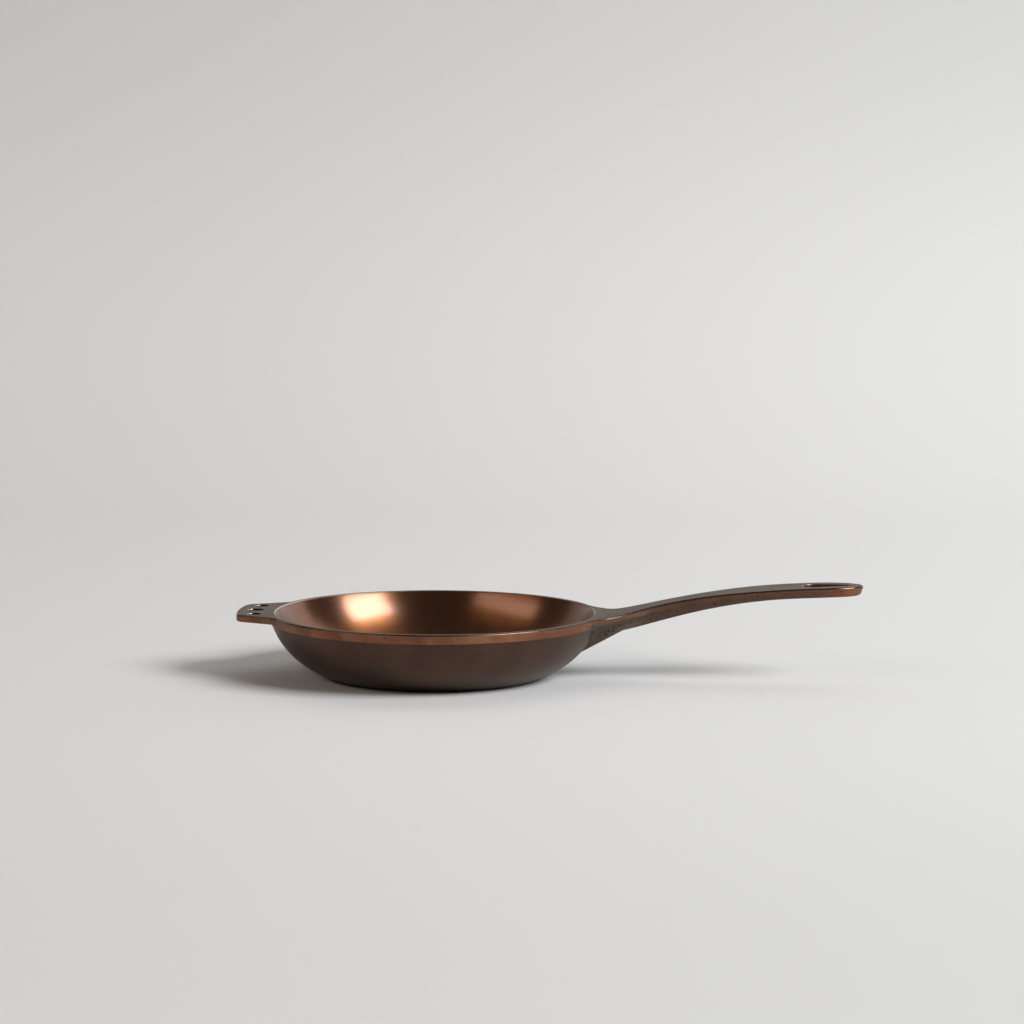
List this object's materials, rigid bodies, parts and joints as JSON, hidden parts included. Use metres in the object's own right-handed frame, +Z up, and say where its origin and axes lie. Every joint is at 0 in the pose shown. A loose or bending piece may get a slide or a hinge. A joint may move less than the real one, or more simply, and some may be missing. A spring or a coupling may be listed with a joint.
{
  "type": "frying pan",
  "caption": "Cast-iron skillet with flared walls, a machined cooking surface, a pierced helper tab and a long arched handle with a teardrop hanging hole.",
  "frame": {"origin": "centre of the flat resting face under the pan, on the surface it stands on", "axes": "+Z up, out of the open bowl; +X from the pan's centre toward the handle's tip; the helper tab is on -X"},
  "size_m": [0.4994, 0.264, 0.0761],
  "materials": {
    "cooking_surface": "turned, seasoned, satin bronze",
    "cast_skin": "as cast, seasoned, dark brown",
    "rim_band": "ground smooth, seasoned, copper brown",
    "handle_skin": "as cast, seasoned, grey brown"
  },
  "bodies": {
    "root": {"cooking_floor": "cooking_surface", "floor_corner": "cast_skin", "side_wall": "cast_skin", "rim_band": "rim_band", "helper_tab": "handle_skin", "handle_neck": "handle_skin", "root_gusset": "cast_skin", "handle_grip": "handle_skin", "hanging_eye": "handle_skin"}
  },
  "joints": []
}
